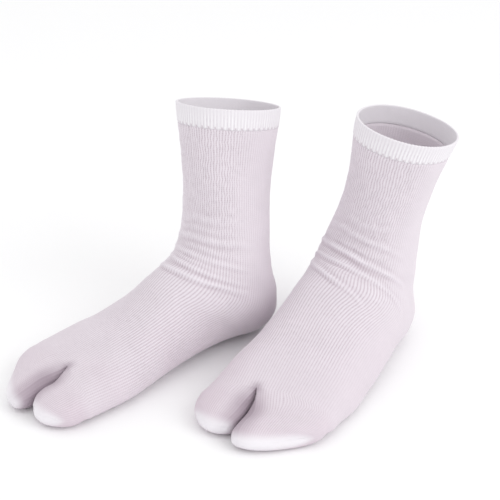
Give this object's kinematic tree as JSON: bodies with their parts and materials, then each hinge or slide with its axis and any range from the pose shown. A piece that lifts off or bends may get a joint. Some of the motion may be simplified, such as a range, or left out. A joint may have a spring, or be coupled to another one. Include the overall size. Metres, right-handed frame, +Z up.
{
  "type": "pair of tabi socks",
  "caption": "Split-toe knitted crew socks in their worn form: hollow tubes that stand on their soles, open at the top, with doubled ribbed welts.",
  "frame": {"origin": "on the floor under the middle of the pair's box", "axes": "+Z up from the soles; -Y towards the toes; the wearer's left is +X and right is -X"},
  "size_m": [0.2482, 0.3532, 0.2113],
  "materials": {
    "knit": "fine ribbed jersey knit, pale lilac white, matt with a soft nap",
    "welt": "doubled fine rib, whiter than the leg, matt"
  },
  "bodies": {
    "root": {"right_sock": "knit", "right_cuff": "welt", "left_sock": "knit", "left_cuff": "welt"}
  },
  "joints": []
}
